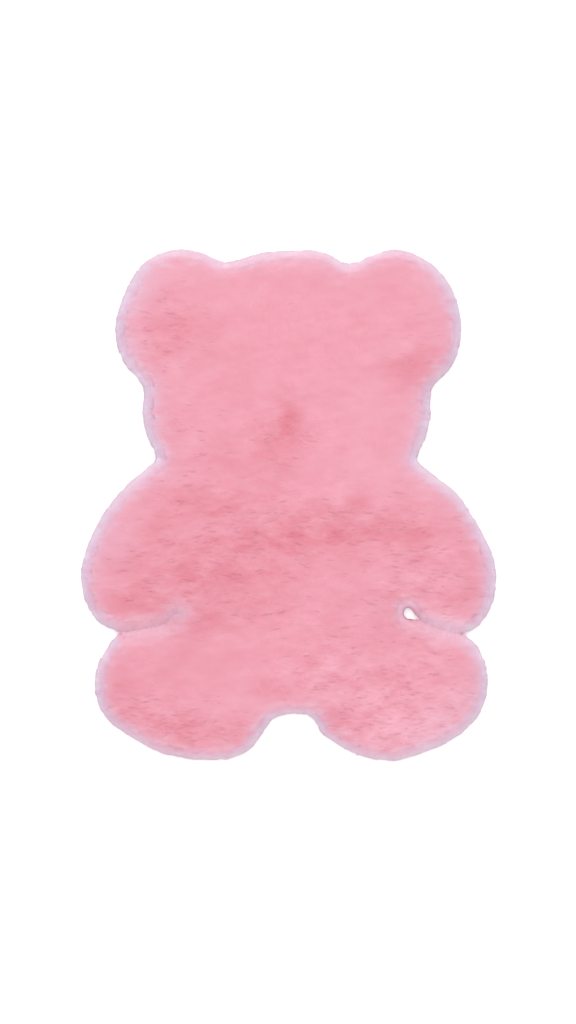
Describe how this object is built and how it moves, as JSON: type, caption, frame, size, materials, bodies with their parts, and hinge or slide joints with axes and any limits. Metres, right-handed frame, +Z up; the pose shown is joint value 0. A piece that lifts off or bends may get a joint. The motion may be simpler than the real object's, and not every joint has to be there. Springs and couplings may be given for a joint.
{
  "type": "bear-shaped faux fur rug",
  "caption": "Floor rug of plush imitation fur in the outline of a bear, with head, ears, arms and legs cut in one piece; it lies flat on the floor.",
  "frame": {"origin": "middle of the rug's footprint, on the floor under it", "axes": "+Y from the legs towards the head, +X to the right seen from above with the head up, +Z up out of the pile"},
  "size_m": [0.6496, 0.8004, 0.024],
  "materials": {
    "pile_cloth": "long plush pile, dull with a soft sheen"
  },
  "bodies": {
    "root": {"bear_rug": "pile_cloth"}
  },
  "joints": []
}
